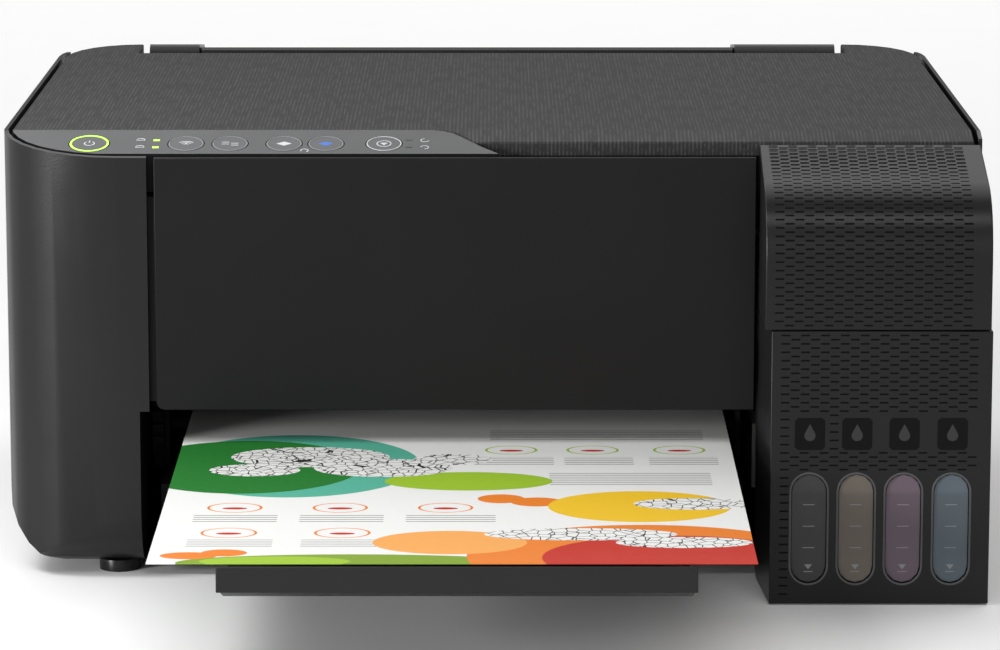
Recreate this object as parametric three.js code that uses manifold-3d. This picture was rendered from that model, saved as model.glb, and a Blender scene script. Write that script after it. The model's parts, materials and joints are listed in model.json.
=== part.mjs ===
// A compact ink-tank inkjet printer with a flatbed scanner on top.
// Millimetres. +X is the user's right, +Y is towards the back, +Z is up.
// The origin lies under the middle of the bounding box, on the surface the printer stands on.
// The output tray is drawn out and a printed sheet lies in the output mouth.
import * as THREE from "three";
import { mergeVertices } from "three/addons/utils/BufferGeometryUtils.js";
import Module from "manifold-3d";

const wasm = await Module();
wasm.setup();

// ---------------------------------------------------------------- driving dimensions
const HALF_WIDTH = 187.5;
const HALF_DEPTH = 247.8; // from the tray's front edge to the back of the paper feeder
const TOP = 171.6; // the flat top of the cover and of the casing's rim
const BOTTOM = 4; // underside of the casing, which stands on low feet
const FRONT = -61; // front of the left casing
const CORNER_BACK = 231.5; // back of the rounded rear corners
const TANK_FRONT = -99.2; // front of the ink tank unit
const WALL = 1.6;
const GAP = 0.4; // running gap between neighbours
const RIM_INSET = 3.3; // casing rim plus the dark gap inside it
const SLOPE = THREE.MathUtils.degToRad(15.5); // fall of the top towards the front
const SLOPE_START = -36;
const FRONT_CORNER = { rx: 45, ry: 28 };
const BACK_CORNER = { rx: 33, ry: 41.5 };
const BACK_CORNER_Y = CORNER_BACK - BACK_CORNER.ry;
const PAPER = { width: 210, length: 297, thickness: 0.3, middle: -13.6 };
const FAR = 400; // larger than the printer, for cutters that run right through

// Mouth of the paper output, between the left casing and the ink tank unit.
const MOUTH = { left: -134.7, right: 102, top: 66.5, back: 20 };
// Seams between the side casings and the rear cover.
const SEAM_X = 151;
const slopeTop = (y) => TOP - Math.max(0, SLOPE_START - y) * Math.tan(SLOPE);

// ---------------------------------------------------------------- materials
const COLOURS = {
  casing_black: [0x2e2f31, 0.62, 0],
  lid_grey: [0x4c4d4f, 0.5, 0],
  panel_grey: [0x5f6062, 0.42, 0],
  front_black: [0x26272a, 0.45, 0],
  textured_black: [0x2a2b2d, 0.7, 0],
  tray_black: [0x1f2022, 0.5, 0],
  inner_black: [0x17181a, 0.7, 0],
  button_grey: [0x66686b, 0.45, 0],
  power_button: [0xb6f56a, 0.4, 0],
  copy_blue: [0x3f6bb5, 0.4, 0],
  ink_black: [0x3a3a3c, 0.25, 0],
  ink_yellow: [0x6b6256, 0.25, 0],
  ink_magenta: [0x665462, 0.25, 0],
  ink_cyan: [0x54616b, 0.25, 0],
  glass: [0xb8c4c4, 0.05, 0],
  steel: [0x9a9da0, 0.35, 0.9],
  rubber: [0x151515, 0.9, 0],
  white_plastic: [0xd6d4cc, 0.55, 0],
  circuit_green: [0x1e5a36, 0.5, 0],
  belt_black: [0x101010, 0.85, 0],
  foam_white: [0xe9e9e6, 0.7, 0],
  paper: [0xf4f4f1, 0.8, 0],
};
const materials = {};
for (const [slot, [color, roughness, metalness]] of Object.entries(COLOURS)) {
  materials[slot] = new THREE.MeshStandardMaterial({ color, roughness, metalness });
}

// ---------------------------------------------------------------- solids
function toSolid(shape) {
  if (shape instanceof wasm.Manifold) return shape;
  const bare = shape.clone();
  bare.deleteAttribute("normal");
  bare.deleteAttribute("uv");
  const merged = mergeVertices(bare, 1e-4);
  return new wasm.Manifold(
    new wasm.Mesh({
      numProp: 3,
      vertProperties: merged.attributes.position.array,
      triVerts: new Uint32Array(merged.index.array),
    }),
  );
}
const join = (...shapes) => shapes.map(toSolid).reduce((sum, next) => sum.add(next));
const cut = (base, ...tools) =>
  tools.map(toSolid).reduce((rest, tool) => rest.subtract(tool), toSolid(base));
const meet = (...shapes) => shapes.map(toSolid).reduce((common, next) => common.intersect(next));

function toGeometry(solid) {
  const mesh = solid.getMesh();
  return new THREE.BufferGeometry()
    .setAttribute("position", new THREE.BufferAttribute(new Float32Array(mesh.vertProperties), 3))
    .setIndex(new THREE.BufferAttribute(new Uint32Array(mesh.triVerts), 1));
}

function piece(name, slot, shape) {
  const mesh = new THREE.Mesh(toGeometry(toSolid(shape)), materials[slot]);
  mesh.geometry.computeVertexNormals();
  mesh.name = name;
  return mesh;
}

function block(x0, x1, y0, y1, z0, z1) {
  const box = new THREE.BoxGeometry(x1 - x0, y1 - y0, z1 - z0);
  return box.translate((x0 + x1) / 2, (y0 + y1) / 2, (z0 + z1) / 2);
}

// An outline drawn across one axis and drawn out along it. Along x the outline holds (y, z),
// along y it holds (x, z), and along z it holds (x, y).
const AXES = {
  x: new THREE.Matrix4().makeBasis(
    new THREE.Vector3(0, 1, 0),
    new THREE.Vector3(0, 0, 1),
    new THREE.Vector3(1, 0, 0),
  ),
  y: new THREE.Matrix4().makeBasis(
    new THREE.Vector3(1, 0, 0),
    new THREE.Vector3(0, 0, 1),
    new THREE.Vector3(0, -1, 0),
  ),
  z: new THREE.Matrix4(),
};
function prism(axis, outline, from, to) {
  const shape = new THREE.Shape(outline.map(([u, v]) => new THREE.Vector2(u, v)));
  return new THREE.ExtrudeGeometry(shape, { depth: to - from, bevelEnabled: false })
    .translate(0, 0, axis === "y" ? -to : from)
    .applyMatrix4(AXES[axis]);
}

// Points along an ellipse's arc, angles in degrees.
function arc(u, v, ru, rv, start, end, steps) {
  return Array.from({ length: steps + 1 }, (_, i) => {
    const angle = THREE.MathUtils.degToRad(start + ((end - start) * i) / steps);
    return [u + ru * Math.cos(angle), v + rv * Math.sin(angle)];
  });
}
const circle = (u, v, radius, sides) => arc(u, v, radius, radius, 0, 360 - 360 / sides, sides - 1);
const rod = (axis, u, v, radius, from, to, sides = 16) =>
  prism(axis, circle(u, v, radius, sides), from, to);
const rectangle = (u0, u1, v0, v1) => [
  [u0, v0],
  [u1, v0],
  [u1, v1],
  [u0, v1],
];

// A sheet-like section that follows a line of (u, v) points, drawn thickness to its left.
function strip(points, thickness) {
  const direction = (a, b) => new THREE.Vector2(b[0] - a[0], b[1] - a[1]).normalize();
  const offset = points.map((point, i) => {
    const before = direction(points[Math.max(i - 1, 0)], points[Math.max(i, 1)]);
    const last = points.length - 1;
    const after = direction(points[Math.min(i, last - 1)], points[Math.min(i + 1, last)]);
    const normal = new THREE.Vector2(-before.y - after.y, before.x + after.x).normalize();
    const stretch = thickness / normal.dot(new THREE.Vector2(-before.y, before.x));
    return [point[0] + normal.x * stretch, point[1] + normal.y * stretch];
  });
  return [...points, ...offset.reverse()];
}

// ---------------------------------------------------------------- outlines of the casing
// Side view: rounded front bottom edge, sloping front top, lower back corner.
function sideOutline(inset, openTop) {
  const frontRadius = 22;
  const backRadius = 8;
  const front = FRONT + inset;
  const back = CORNER_BACK - inset;
  const rimEnd = { high: 204, low: 210, z: 146 };
  const top = openTop
    ? [
        [back, FAR],
        [front, FAR],
      ]
    : [
        [back, rimEnd.z],
        [rimEnd.low, rimEnd.z],
        [rimEnd.high, TOP],
        [SLOPE_START, TOP],
        [front, slopeTop(front)],
      ];
  const roundedEdge = (y, radius, start, steps) =>
    arc(y, BOTTOM + radius, radius - inset, radius - inset, start, start + 90, steps);
  return [
    ...roundedEdge(FRONT + frontRadius, frontRadius, 180, 6),
    ...roundedEdge(CORNER_BACK - backRadius, backRadius, 270, 3),
    ...top,
  ];
}

// Front view of one side: a rounded bottom edge. side is -1 on the left and 1 on the right.
function frontOutline(side, inset, radius) {
  const corner = arc(HALF_WIDTH - radius, BOTTOM + radius, radius - inset, radius - inset, 0, -90, 6);
  const half = [[HALF_WIDTH - inset, FAR], ...corner, [0, BOTTOM + inset], [0, FAR]];
  return half.map(([x, z]) => [side * x, z]);
}

const backCorner = (inset, steps) =>
  arc(
    HALF_WIDTH - BACK_CORNER.rx,
    BACK_CORNER_Y,
    BACK_CORNER.rx - inset,
    BACK_CORNER.ry - inset,
    0,
    90,
    steps,
  );
const frontCorner = (inset, steps) =>
  arc(
    HALF_WIDTH - FRONT_CORNER.rx,
    FRONT + FRONT_CORNER.ry,
    FRONT_CORNER.rx - inset,
    FRONT_CORNER.ry - inset,
    -90,
    0,
    steps,
  );
const mirrored = (outline) => outline.map(([x, y]) => [-x, y]).reverse();

// Sockets that show through the back of the casing.
const INLET = { left: -168, right: -156, low: 23, high: 39 };
const USB = { left: 154.8, right: 166.8, low: 102, high: 113 };

// ---------------------------------------------------------------- casing
const foot = (x, y, top) => rod("z", x, y, 8, 0, top + 0.5);

function leftShell() {
  const frontInner = 131;
  const plan = (inset, reach) =>
    mirrored([
      [frontInner - reach, FRONT + inset],
      ...frontCorner(inset, 8),
      ...backCorner(inset, 8),
      [SEAM_X - reach, CORNER_BACK - inset],
      [SEAM_X - reach, MOUTH.back],
      [frontInner - reach, MOUTH.back],
    ]);
  const body = (inset, reach, openTop) =>
    meet(
      prism("z", plan(inset, reach), BOTTOM + inset, FAR),
      prism("y", frontOutline(-1, inset, 28), -FAR, FAR),
      prism("x", sideOutline(inset, openTop), -FAR, FAR),
    );
  const mouthSide = block(MOUTH.left, 0, -FAR, MOUTH.back + 1, 0, MOUTH.top);
  const inletHole = block(INLET.left - 2.4, INLET.right + 2.4, 200, 240, INLET.low - 2.4, INLET.high + 2.4);
  const shell = cut(body(0, 0, false), body(WALL, 20, true), mouthSide, inletHole);
  return piece("left_shell", "casing_black", join(shell, foot(-145, -39, BOTTOM)));
}

function rightShell() {
  const front = -44;
  const innerFront = 103;
  const floorBack = 100;
  const plan = (inset, reach) => [
    [HALF_WIDTH - inset, front],
    ...backCorner(inset, 8),
    [SEAM_X - reach, CORNER_BACK - inset],
    [SEAM_X - reach, floorBack + reach],
    [innerFront - reach, floorBack + reach],
    [innerFront - reach, front],
  ];
  const body = (inset, reach, openTop) =>
    meet(
      prism("z", plan(inset, reach), BOTTOM + inset, FAR),
      prism("y", frontOutline(1, inset, 6), -FAR, FAR),
      prism("x", sideOutline(inset, openTop), -FAR, FAR),
    );
  const usbHole = block(USB.left - 0.6, USB.right + 0.6, 200, 240, USB.low - 1.6, USB.high + 0.6);
  return piece("right_shell", "casing_black", cut(body(0, 0, false), body(WALL, 20, true), usbHole));
}

const FRONT_PANEL = { left: -128.3, right: 100.3, front: -60, back: -57.8, low: 67, high: 164.6 };
function frontPanel() {
  const { left, right, front, back, low, high } = FRONT_PANEL;
  const cornerRadius = 3;
  const outline = [
    ...arc(left + cornerRadius, low + cornerRadius, cornerRadius, cornerRadius, 180, 270, 3),
    [right, low],
    [right, high],
    [left, high],
  ];
  const plate = prism("y", outline, front, back);
  const topBevel = prism(
    "x",
    [
      [front - 1, high - 1.4],
      [front - 1, high + 1],
      [front + 1.4, high + 1],
    ],
    -FAR,
    FAR,
  );
  const stiffener = (z) => block(left + 8, right - 8, back - 0.5, back + 3, z, z + 1.6);
  // A flange behind the left casing's edge keeps the gap beside the panel dark.
  const flange = block(left - 5.2, left + 1, back - 0.7, back + 0.9, low + 3, SCANNER.split - 0.5);
  const panel = join(cut(plate, topBevel), stiffener(low + 6), stiffener(112), flange);
  return piece("front_panel", "front_black", panel);
}

// The rear cover closes the back and holds the sheet feeder's mouth between two raised ends.
const FEEDER = { left: -127, right: 105, front: 203, wallTop: 162, top: 174, height: 140 };
// Its tops fall gently towards the back.
const feederTop = (y) => FEEDER.top - (y - 212) * 0.126;
function rearCover() {
  const half = SEAM_X - 1.3;
  const wall = 2;
  const backLine = [
    [CORNER_BACK, BOTTOM + 1.5],
    [CORNER_BACK, 70],
    [HALF_DEPTH, 100],
    [HALF_DEPTH, feederTop(HALF_DEPTH) - 1.8],
  ];
  const back = prism("x", strip(backLine, wall), -half, half);
  const ends = [-half, half - wall].map((x) =>
    prism(
      "x",
      [
        [FEEDER.front - 3.5, FEEDER.height],
        [CORNER_BACK - 1, 64],
        [CORNER_BACK - 1, 71],
        [HALF_DEPTH - 1, 101],
        [HALF_DEPTH - 1, feederTop(HALF_DEPTH) - 2.4],
        [FEEDER.front + 6.5, TOP],
        [FEEDER.front + 3, 169],
        [FEEDER.front, 165],
        [FEEDER.front, FEEDER.wallTop],
        [FEEDER.front - 3.5, FEEDER.wallTop],
      ],
      x,
      x + wall,
    ),
  );
  const raised = (inset) => [
    [FEEDER.front + inset, FEEDER.height - (inset ? 1 : 0)],
    [FEEDER.front + inset, 165],
    [FEEDER.front + 3 + inset, 169 - inset / 2],
    [FEEDER.front + 6.5 + inset / 2, 173 - inset],
    [FEEDER.front + 9, FEEDER.top - inset],
    [HALF_DEPTH - 3, feederTop(HALF_DEPTH - 3) - inset],
    [HALF_DEPTH - inset, feederTop(HALF_DEPTH) - 2.4 - inset],
    [HALF_DEPTH - inset, FEEDER.height - (inset ? 1 : 0)],
  ];
  const raisedEnd = (x0, x1) =>
    cut(prism("x", raised(0), x0, x1), prism("x", raised(WALL), x0 + WALL, x1 - WALL));
  const { left, right, front, height, wallTop } = FEEDER;
  const throat = block(-half, half, front - 3.5, front - 1.5, height, wallTop);
  const rimTop = feederTop(HALF_DEPTH) - 1.3;
  const backRim = prism("x", rectangle(238, HALF_DEPTH - 0.5, rimTop - 1.8, rimTop), left - 2, right + 2);
  const raisedEnds = [raisedEnd(-half, left - 1), raisedEnd(right + 1, half)];
  return piece("rear_cover", "casing_black", join(back, ...ends, ...raisedEnds, throat, backRim));
}

// The bottom pan, with moulded feet, tray guides and the two cheeks that hold the roller shafts.
const CHEEK = { left: -128.8, right: 96, thickness: 1.8, front: -12, back: 112 };
const PAN = { z0: BOTTOM, z1: BOTTOM + 2.4 };
function baseFrame(shafts) {
  const pan = join(
    block(MOUTH.left + GAP, MOUTH.right - GAP, FRONT + 9, MOUTH.back + 1, PAN.z0, PAN.z1),
    block(-SEAM_X + GAP, MOUTH.right, MOUTH.back + GAP, CORNER_BACK - 3, PAN.z0, PAN.z1),
    block(MOUTH.right - 2, SEAM_X - GAP, 100 + GAP, CORNER_BACK - 3, PAN.z0, PAN.z1),
  );
  const feet = [
    [50, -40],
    [-140, 205],
    [140, 205],
  ].map(([x, y]) => foot(x, y, BOTTOM));
  const cheekOutline = [
    [CHEEK.front, PAN.z1 - 1],
    [CHEEK.back, PAN.z1 - 1],
    [CHEEK.back, 65.2],
    [76.5, 65.2],
    [76.5, 53.4],
    [13, 53.4],
    [13, 68],
    [CHEEK.front, 68],
  ];
  const cheeks = [CHEEK.left, CHEEK.right].map((x) => prism("x", cheekOutline, x, x + CHEEK.thickness));
  const guideTop = 35.7;
  // The wall on the mouth's left stands just inside the left casing, on a ledge over its floor.
  const overFloor = PAN.z1 - GAP;
  const mouthWall = join(
    meet(
      block(MOUTH.left - 2, MOUTH.left, FRONT + 2, MOUTH.back, overFloor, MOUTH.top),
      prism("x", sideOutline(WALL + GAP, true), -FAR, FAR),
    ),
    block(MOUTH.left - 2, MOUTH.left + 2, FRONT + 22, MOUTH.back, overFloor, overFloor + 1.6),
  );
  const guides = [
    block(CHEEK.left + 1, -100, FRONT + 11, 60, PAN.z0, guideTop),
    block(76, CHEEK.right + 1, FRONT + 11, 60, PAN.z0, guideTop),
  ];
  const holes = shafts.map(({ y, z, radius }) => rod("x", y, z, radius + 0.5, -FAR, FAR, 12));
  const idlerAxle = rod("x", IDLER.y, IDLER.z, SHAFT, GEAR_PLANE.from, CHEEK.left + 1, 12);
  const walls = cut(join(...cheeks, ...guides), ...holes);
  return piece("base_frame", "inner_black", join(pan, ...feet, walls, idlerAxle, mouthWall));
}

// ---------------------------------------------------------------- ink tank unit
const TANK_XS = [119.1, 136.8, 154.5, 172.5];
const TANK_SPLIT = 105.2; // seam between the tank cover and the tank case
const WINDOW = { width: 13.5, low: 8.4, high: 50.6 };
const TANK_BACK = -44.6;

function obround(x, width, low, high, steps = 6) {
  const r = width / 2;
  return [...arc(x, high - r, r, r, 0, 180, steps), ...arc(x, low + r, r, r, 180, 360, steps)];
}

function tankCase() {
  const bottom = 0.6;
  const plan = (inset) => [
    [102 + inset, TANK_BACK + (inset ? 5 : 0)],
    [102 + inset, FRONT],
    [104.4 + inset, TANK_FRONT + inset],
    [187 - inset, TANK_FRONT + inset],
    [HALF_WIDTH - inset, TANK_BACK + (inset ? 5 : 0)],
  ];
  const shell = cut(
    prism("z", plan(0), bottom, TANK_SPLIT - GAP / 2),
    prism("z", plan(2), bottom + 2, FAR),
  );
  const windows = TANK_XS.map((x) =>
    prism("y", obround(x, WINDOW.width, WINDOW.low, WINDOW.high), TANK_FRONT - 1, TANK_FRONT + 3),
  );
  return piece("tank_case", "textured_black", join(cut(shell, ...windows), foot(150, -72, bottom + 0.5)));
}

function tankCoverOutline(inset) {
  const rear = -48.2;
  const bend = new THREE.CubicBezierCurve(
    new THREE.Vector2(-80, 158.3),
    new THREE.Vector2(-92, 154.6),
    new THREE.Vector2(-98.4, 147.2),
    new THREE.Vector2(TANK_FRONT, 132),
  );
  const low = TANK_SPLIT + GAP / 2 - (inset ? 5 : 0);
  return [
    [rear + (inset ? 5 : 0), low],
    [rear + (inset ? 5 : 0), 167.9 - inset],
    ...bend.getPoints(7).map(({ x, y }) => [x + inset, y - inset]),
    [TANK_FRONT + inset, low],
  ];
}

function inkTankCover() {
  const left = 101.9;
  const right = 186.4;
  return piece(
    "ink_tank_cover",
    "textured_black",
    cut(
      prism("x", tankCoverOutline(0), left, right),
      prism("x", tankCoverOutline(2), left + 2, right - 2),
    ),
  );
}

const INKS = ["black", "yellow", "magenta", "cyan"];
const NECK = { y: -80, z: 106 };
function inkTank() {
  const width = 16.6;
  const body = block(-width / 2, width / 2, -96.6, -48, 4, 100);
  const window = obround(0, WINDOW.width - 2 * GAP, WINDOW.low + GAP, WINDOW.high - GAP);
  const lens = prism("y", window, -98.3, -96);
  const neck = rod("z", 0, NECK.y, 5.5, 99, NECK.z, 16);
  const hingeLug = block(-4, 4, -63.5, -60, 99, 107);
  return join(body, lens, neck, hingeLug);
}
const CAP_HINGE = { y: -65.5, z: 108 };
function tankCap() {
  const stopper = rod("z", 0, NECK.y, 7.6, NECK.z + GAP, NECK.z + 6, 16);
  const arm = block(-4.5, 4.5, -78, -66, 107.5, 110);
  const knuckle = rod("x", CAP_HINGE.y, CAP_HINGE.z + 0.6, 1.6, -4.5, 4.5, 10);
  return join(stopper, arm, knuckle);
}

function inkTanks() {
  const tanks = new THREE.Group();
  INKS.forEach((ink, i) => {
    const tank = piece("ink_tank_" + ink, "ink_" + ink, inkTank());
    const cap = piece("tank_cap_" + ink, "ink_" + ink, tankCap());
    tank.position.x = TANK_XS[i];
    cap.position.x = TANK_XS[i];
    tanks.add(tank, cap);
  });
  return tanks;
}

// The flat bundle of ink tubes, from behind the tanks to the clip on the rail.
function inkTubeRibbon() {
  const line = [
    [172, -43],
    [172, 74],
    [168, 79.5],
    [40, 79.5],
  ];
  return piece("ink_tube_ribbon", "ink_cyan", prism("z", strip(line, 2.2), 98.5, 108));
}

// ---------------------------------------------------------------- printing mechanism
const FEED = { y: 80, z: 48, radius: 6 };
const PINCH = { y: 80, z: 60, radius: 5.2 };
const EJECT = { y: 5, z: 48.2, radius: 5.4 };
const STARS = { y: 5, z: 59.9, radius: 5 };
const SHAFT = 2.5;
const RAIL = { left: -172, right: 176, web: 92, low: 66, high: 122, thickness: 1.6 };
const PAPER_LEFT = PAPER.middle - PAPER.width / 2;
const PAPER_RIGHT = PAPER.middle + PAPER.width / 2;

function guideRail() {
  const { left, right, web, low, high, thickness } = RAIL;
  const profile = [
    [web, low],
    [web + thickness, low],
    [web + thickness, high],
    [74, high],
    [74, high - 9],
    [74 + thickness, high - 9],
    [74 + thickness, high - thickness],
    [web, high - thickness],
  ];
  const shaftHoles = [PULLEY_RIGHT, PULLEY_LEFT].map((x) => rod("y", x, PULLEY.z, 3, 80, 100, 12));
  const leg = (x) => block(x, x + thickness, web - 6, web + 1, BOTTOM + 6, low + 1);
  const rail = cut(prism("x", profile, left, right), ...shaftHoles);
  return piece("guide_rail", "steel", join(rail, leg(left), leg(right - thickness)));
}

const CARRIAGE = { x: 135, half: 32, front: 20, back: 72, low: 71, high: 104 };
const NOSE = { half: 10, front: 30, back: 55, low: 56.5 }; // the print head's nozzle end
function carriage() {
  const { x, half, front, back, low, high } = CARRIAGE;
  const body = block(x - half, x + half, front, back, low, high);
  const hollow = block(x - half + 3, x + half - 3, front + 3, back - 12, low + 3, high + 5);
  const noseHole = block(
    x - NOSE.half - GAP,
    x + NOSE.half + GAP,
    NOSE.front - GAP,
    NOSE.back + GAP,
    low - 1,
    low + 4,
  );
  const hook = block(x - half, x + half, back - 2, 82, 88, 96);
  const beltClip = block(x - 8, x + 8, 80, 84, 89, 95);
  return piece("carriage", "inner_black", join(cut(body, hollow, noseHole), hook, beltClip));
}

function printHead() {
  const { x, low, high } = CARRIAGE;
  const dampers = block(x - 27, x + 27, 25, 58, low + 3.4, high - 9);
  const nose = block(x - NOSE.half, x + NOSE.half, NOSE.front, NOSE.back, NOSE.low, low + 5);
  return piece("print_head", "tray_black", join(dampers, nose));
}

const PULLEY = { z: 100, radius: 6, front: 85.5, back: 90.5 };
const PULLEY_RIGHT = 158;
const PULLEY_LEFT = -160;
function pulley(x, shaftBack) {
  const { z, radius, front, back } = PULLEY;
  const teeth = 12;
  const rim = Array.from({ length: teeth * 2 }, (_, i) => {
    const angle = (Math.PI * i) / teeth;
    const r = i % 2 ? radius : radius - 0.7;
    return [x + r * Math.cos(angle), z + r * Math.sin(angle)];
  });
  const flange = rod("y", x, z, radius + 1.4, back, back + 0.9, 16);
  return join(prism("y", rim, front, back + 0.1), flange, rod("y", x, z, 2, front - 1, shaftBack, 10));
}

function carriageBelt() {
  const { z, radius, front, back } = PULLEY;
  const loop = (r) => [
    ...arc(PULLEY_RIGHT, z, r, r, -90, 90, 8),
    ...arc(PULLEY_LEFT, z, r, r, 90, 270, 8),
  ];
  return cut(
    prism("y", loop(radius + 1.2), front + 0.4, back - 0.4),
    prism("y", loop(radius + 0.3), front - 1, back + 1),
  );
}

function carriageMotor() {
  const can = rod("y", PULLEY_RIGHT, PULLEY.z, 13, RAIL.web + 2.2, RAIL.web + 30, 20);
  const bore = rod("y", PULLEY_RIGHT, PULLEY.z, 2.5, 80, RAIL.web + 10, 12);
  return piece("carriage_motor", "steel", cut(can, bore));
}

function platen() {
  const top = 53.5;
  const deck = block(-124, 92, 14.5, 68, 46, 52);
  const ribs = Array.from({ length: 11 }, (_, i) => {
    const x = PAPER_LEFT + 5 + (i * (PAPER.width - 10)) / 10;
    return block(x - 0.8, x + 0.8, 16, 66, 51, top);
  });
  return piece("platen", "inner_black", join(deck, ...ribs));
}

// Gears of the paper drive, all in one plane left of the paper.
const GEAR_PLANE = { from: -133.8, to: -129.4 };
const MODULE = 1.5;
const TEETH = { feed: 24, idler: 27, eject: 22, pinion: 10 };
const pitchRadius = (teeth) => (MODULE * teeth) / 2;
const IDLER = { y: FEED.y - pitchRadius(TEETH.feed) - pitchRadius(TEETH.idler), z: FEED.z };
const PINION_ANGLE = THREE.MathUtils.degToRad(-20);
const PINION = {
  y: FEED.y + (pitchRadius(TEETH.feed) + pitchRadius(TEETH.pinion)) * Math.cos(PINION_ANGLE),
  z: FEED.z + (pitchRadius(TEETH.feed) + pitchRadius(TEETH.pinion)) * Math.sin(PINION_ANGLE),
};

// A spur gear whose tooth number 0 points at the angle phase, in radians from +Y towards +Z.
function gear(centre, teeth, phase) {
  const pitch = (2 * Math.PI) / teeth;
  const root = pitchRadius(teeth) - 1.15 * MODULE;
  const tip = pitchRadius(teeth) + 0.8 * MODULE;
  const outline = [];
  for (let i = 0; i < teeth; i += 1) {
    const middle = phase + i * pitch;
    for (const [radius, part] of [
      [root, -0.3],
      [tip, -0.11],
      [tip, 0.11],
      [root, 0.3],
    ]) {
      const angle = middle + part * pitch;
      outline.push([centre.y + radius * Math.cos(angle), centre.z + radius * Math.sin(angle)]);
    }
  }
  return prism("x", outline, GEAR_PLANE.from, GEAR_PLANE.to);
}

// The phase that puts a tooth gap of the second gear where the first has its tooth.
function meshedPhase(teethA, phaseA, teethB, direction) {
  const pitchA = (2 * Math.PI) / teethA;
  const pitchB = (2 * Math.PI) / teethB;
  const offset = (direction - phaseA) / pitchA;
  const past = offset - Math.floor(offset);
  return direction + Math.PI + pitchB * (past + 0.5);
}

// A shaft with sleeves spread evenly over the paper's width.
function rollerShaft(at, sleeveCount, sleeveWidth, from, sides = 14) {
  const end = CHEEK.right + CHEEK.thickness + 1;
  const shaft = rod("x", at.y, at.z, SHAFT, from, end, 12);
  const first = PAPER_LEFT + 14;
  const step = (PAPER.width - 28) / (sleeveCount - 1);
  const sleeves = Array.from({ length: sleeveCount }, (_, i) => {
    const x = first + i * step;
    return rod("x", at.y, at.z, at.radius, x - sleeveWidth / 2, x + sleeveWidth / 2, sides);
  });
  return join(shaft, ...sleeves);
}

// The feed and eject rollers carry their gears; an idler gear links them and a pinion drives them.
function paperDrive() {
  const feedPhase = 0;
  const idlerPhase = meshedPhase(TEETH.feed, feedPhase, TEETH.idler, Math.PI);
  const ejectPhase = meshedPhase(TEETH.idler, idlerPhase, TEETH.eject, Math.PI);
  const pinionPhase = meshedPhase(TEETH.feed, feedPhase, TEETH.pinion, PINION_ANGLE);
  const feedGear = gear(FEED, TEETH.feed, feedPhase);
  const ejectGear = gear(EJECT, TEETH.eject, ejectPhase);
  const idlerBore = rod("x", IDLER.y, IDLER.z, SHAFT + 0.35, -FAR, FAR, 12);
  const pinionBore = rod("x", PINION.y, PINION.z, 1.6, -FAR, FAR, 12);
  return [
    piece("feed_roller", "steel", join(rollerShaft(FEED, 4, 34, GEAR_PLANE.from), feedGear)),
    piece("eject_roller", "rubber", join(rollerShaft(EJECT, 5, 10, GEAR_PLANE.from), ejectGear)),
    piece("pinch_roller", "rubber", rollerShaft(PINCH, 4, 30, CHEEK.left - 0.2)),
    piece("star_wheels", "steel", rollerShaft(STARS, 5, 1.4, CHEEK.left - 0.2, 12)),
    piece("idler_gear", "white_plastic", cut(gear(IDLER, TEETH.idler, idlerPhase), idlerBore)),
    piece("motor_pinion", "white_plastic", cut(gear(PINION, TEETH.pinion, pinionPhase), pinionBore)),
  ];
}

function starWheelHolder() {
  const bar = block(CHEEK.left + 2.4, CHEEK.right - 0.6, -5, 13, 66, 74);
  const fingers = [-22, -1].map((x) => block(x, x + 6, -5, -1.5, 58, 67));
  return piece("star_wheel_holder", "inner_black", join(bar, ...fingers));
}

function feedMotor() {
  const can = rod("x", PINION.y, PINION.z, 13.5, -163, -136.8, 20);
  const shaft = rod("x", PINION.y, PINION.z, 1.2, -137, -130, 8);
  return piece("feed_motor", "steel", join(can, shaft));
}

function cappingStation() {
  const frame = block(104, 166, 14, 74, 20, 46);
  const cup = cut(block(112, 158, 24, 64, 45, 56), block(115, 155, 27, 61, 50, 62));
  return piece("capping_station", "white_plastic", join(frame, cup));
}

// Power supply with its two-pin inlet in the back, and the main board with its USB socket.
function powerSupply() {
  const box = block(-180, -142, 126, 206, 17, 62);
  const socket = block(INLET.left - 1.6, INLET.right + 1.6, 205, 228.8, INLET.low - 1.6, INLET.high + 1.6);
  const recess = block(INLET.left, INLET.right, 214, 240, INLET.low, INLET.high);
  const middle = (INLET.left + INLET.right) / 2;
  const pins = [27.5, 34.5].map((z) => rod("y", middle, z, 1.2, 213, 222, 8));
  return piece("power_supply", "inner_black", join(cut(join(box, socket), recess), ...pins));
}

function mainBoard() {
  const board = join(block(104, 178, 124, 196, 100, 101.8), block(152, 170, 195, 216, 100, 101.8));
  const chips = [
    block(120, 140, 150, 170, 101, 103.5),
    block(150, 162, 140, 152, 101, 103),
    block(112, 130, 178, 192, 101, 108),
  ];
  const port = cut(
    block(USB.left, USB.right, 206, 229.6, 101, USB.high),
    block(USB.left + 1.5, USB.right - 1.5, 212, 240, USB.low + 1, USB.high - 1.5),
  );
  return piece("main_board", "circuit_green", join(board, ...chips, port));
}

// ---------------------------------------------------------------- rear sheet feeder
const BED = { topY: 230, topZ: 164, lowY: 172, lowZ: 76 };
function paperBed() {
  const line = [
    [90.5, 52.6],
    [118, 53.2],
    [146, 58],
    [BED.lowY, BED.lowZ],
    [BED.topY, BED.topZ],
  ];
  const bed = prism("x", strip(line, -2), CHEEK.left + 2.2, CHEEK.right - 0.4);
  return piece("paper_bed", "inner_black", bed);
}

const bedY = (z) => BED.lowY + ((z - BED.lowZ) * (BED.topY - BED.lowY)) / (BED.topZ - BED.lowZ);
function edgeGuide(name, x) {
  const thickness = 2.4;
  const standoff = 0.7;
  const reach = 9;
  const outline = [
    [bedY(137) - standoff, 137],
    [bedY(137) - standoff - reach * 0.8, 137 + reach * 0.55],
    [bedY(160) - standoff - reach, 160 + reach * 0.3],
    [bedY(160) - standoff, 160],
  ];
  return piece(name, "inner_black", prism("x", outline, x, x + thickness));
}

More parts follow.
